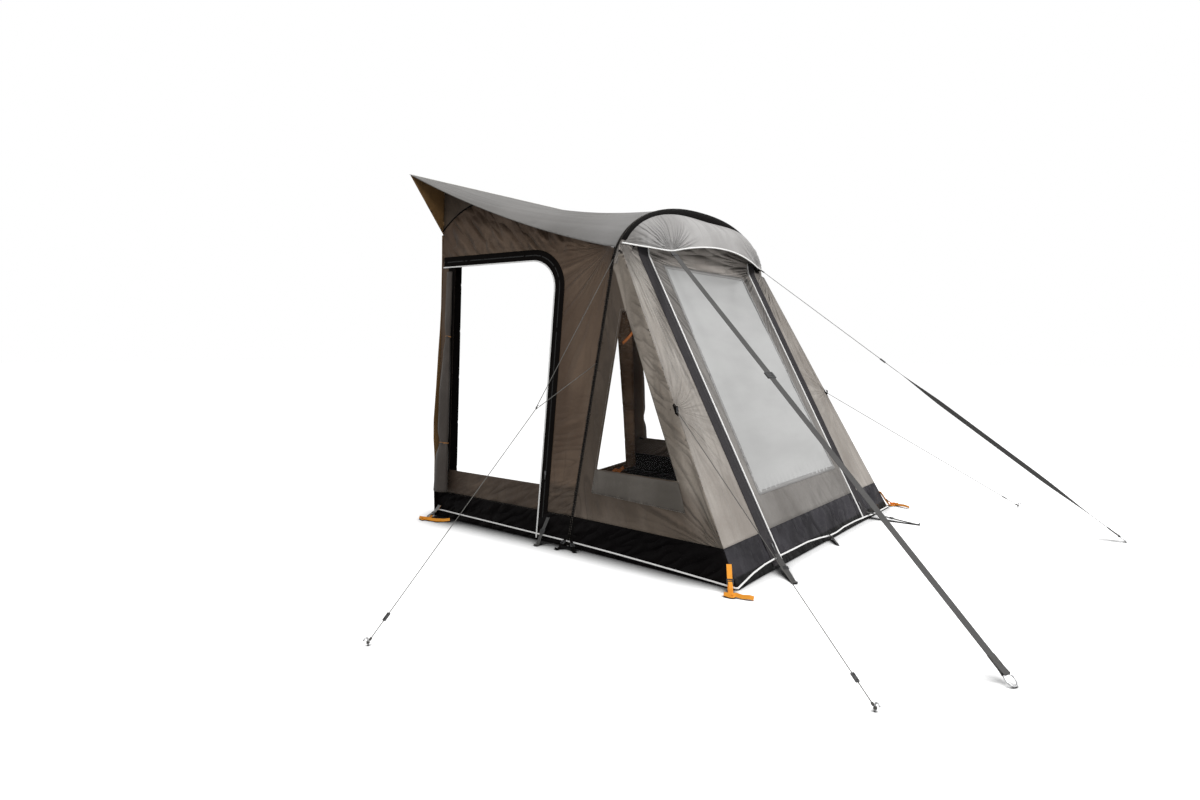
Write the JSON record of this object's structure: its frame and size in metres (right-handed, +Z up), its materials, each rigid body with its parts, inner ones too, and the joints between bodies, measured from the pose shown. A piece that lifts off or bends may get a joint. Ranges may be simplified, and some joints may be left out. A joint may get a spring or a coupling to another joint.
{
  "type": "caravan awning",
  "caption": "Caravan porch awning on an inflatable arch, with side doors rolled open, a large front window, a peaked visor, storm straps and guy lines",
  "frame": {"origin": "on the ground, in the middle of the awning's footprint", "axes": "+X runs along the caravan, +Y points at the caravan and +Z up"},
  "size_m": [5.805, 4.0708, 2.483],
  "materials": {
    "bead_cloth": "woven bead",
    "beam_skin": "air-tight film in a cover",
    "black_cloth": "matt woven",
    "black_plastic": "moulded",
    "clear_film": "clear flexible film",
    "front_cloth": "matt coated polyester",
    "guy_line": "braided",
    "orange_strap": "moulded and woven, bright orange",
    "roof_cloth": "matt coated polyester",
    "steel": "galvanised",
    "wall_cloth": "matt coated polyester",
    "webbing": "woven webbing"
  },
  "bodies": {
    "awning": {"air_beam": "beam_skin", "beam_sleeve": "black_cloth", "beam_valve": "black_plastic", "corner_guy_left": "guy_line", "corner_guy_peg_left": "steel", "corner_guy_peg_right": "steel", "corner_guy_right": "guy_line", "corner_panel_left": "front_cloth", "corner_panel_right": "front_cloth", "door_zip_left": "black_cloth", "door_zip_right": "black_cloth", "draught_pad_left": "black_cloth", "draught_pad_right": "black_cloth", "front_corner_peg_left": "orange_strap", "front_corner_peg_right": "orange_strap", "front_corner_strap_left": "orange_strap", "front_corner_strap_right": "orange_strap", "front_mud_skirt": "black_cloth", "front_panel": "front_cloth", "front_side_panel_left": "wall_cloth", "front_side_panel_right": "wall_cloth", "front_window": "clear_film", "front_zip_left": "black_cloth", "front_zip_right": "black_cloth", "rail_bead": "bead_cloth", "rear_corner_strap_left": "orange_strap", "rear_corner_strap_right": "orange_strap", "rear_mud_skirt_left": "black_cloth", "rear_mud_skirt_right": "black_cloth", "rear_side_panel_left": "wall_cloth", "rear_side_panel_right": "wall_cloth", "rolled_door_left": "wall_cloth", "rolled_door_right": "wall_cloth", "roof_panel": "roof_cloth", "side_guy_peg_left": "steel", "side_guy_peg_right": "steel", "side_lower_guy_left": "guy_line", "side_lower_guy_right": "guy_line", "side_upper_guy_left": "guy_line", "side_upper_guy_right": "guy_line", "side_window_left": "clear_film", "side_window_right": "clear_film", "storm_strap_left": "webbing", "storm_strap_right": "webbing", "visor": "front_cloth", "wing_gusset_left": "roof_cloth", "wing_gusset_right": "roof_cloth"},
    "door_slider_left": {"door_zip_slider_left": "black_plastic"},
    "front_slider_left": {"front_zip_slider_left": "black_plastic"},
    "door_slider_right": {"door_zip_slider_right": "black_plastic"},
    "front_slider_right": {"front_zip_slider_right": "black_plastic"},
    "buckle_left": {"strap_buckle_left": "black_plastic"},
    "ring_left": {"storm_ring_left": "steel"},
    "buckle_right": {"strap_buckle_right": "black_plastic"},
    "ring_right": {"storm_ring_right": "steel"},
    "side_tensioner_left_body": {"side_tensioner_left": "black_plastic"},
    "side_tensioner_right_body": {"side_tensioner_right": "black_plastic"},
    "corner_tensioner_left_body": {"corner_tensioner_left": "black_plastic"},
    "corner_tensioner_right_body": {"corner_tensioner_right": "black_plastic"},
    "cap": {"valve_cap": "black_plastic"}
  },
  "joints": [
    {"name": "door_slider_slide_left", "type": "slide", "parent": "awning", "child": "door_slider_left", "axis": [0.1079, 0, 0.9942], "range_m": [0, 1.15]},
    {"name": "front_slider_slide_left", "type": "slide", "parent": "awning", "child": "front_slider_left", "axis": [0, 0.4681, 0.8837], "range_m": [0, 1.86]},
    {"name": "door_slider_slide_right", "type": "slide", "parent": "awning", "child": "door_slider_right", "axis": [-0.1079, 0, 0.9942], "range_m": [0, 1.15]},
    {"name": "front_slider_slide_right", "type": "slide", "parent": "awning", "child": "front_slider_right", "axis": [0, 0.4681, 0.8837], "range_m": [0, 1.86]},
    {"name": "buckle_slide_left", "type": "slide", "parent": "awning", "child": "buckle_left", "axis": [0.3036, 0.718, 0.6263], "range_m": [0, 0.6]},
    {"name": "ring_hinge_left", "type": "hinge", "parent": "awning", "child": "ring_left", "pos_m": [-1.51803, -2.51097, 0.03707], "axis": [-0.9211, 0.3894, 0], "range_deg": [0, 60]},
    {"name": "buckle_slide_right", "type": "slide", "parent": "awning", "child": "buckle_right", "axis": [-0.1985, 0.7683, 0.6086], "range_m": [0, 0.6]},
    {"name": "ring_hinge_right", "type": "hinge", "parent": "awning", "child": "ring_right", "pos_m": [1.22321, -2.72783, 0.03615], "axis": [-0.9682, -0.2501, 0], "range_deg": [0, 60]},
    {"name": "side_tensioner_left_slide", "type": "slide", "parent": "awning", "child": "side_tensioner_left_body", "axis": [0.7781, 0.086, 0.6223], "range_m": [0, 0.6]},
    {"name": "side_tensioner_right_slide", "type": "slide", "parent": "awning", "child": "side_tensioner_right_body", "axis": [-0.7781, 0.086, 0.6223], "range_m": [0, 0.6]},
    {"name": "corner_tensioner_left_slide", "type": "slide", "parent": "awning", "child": "corner_tensioner_left_body", "axis": [0.4792, 0.7453, 0.4635], "range_m": [0, 0.6]},
    {"name": "corner_tensioner_right_slide", "type": "slide", "parent": "awning", "child": "corner_tensioner_right_body", "axis": [-0.4676, 0.7251, 0.5055], "range_m": [0, 0.6]},
    {"name": "cap_hinge", "type": "hinge", "parent": "awning", "child": "cap", "pos_m": [-1.03296, -0.06944, 0.52106], "axis": [0, -0.9961, -0.0879], "range_deg": [0, 100]}
  ]
}
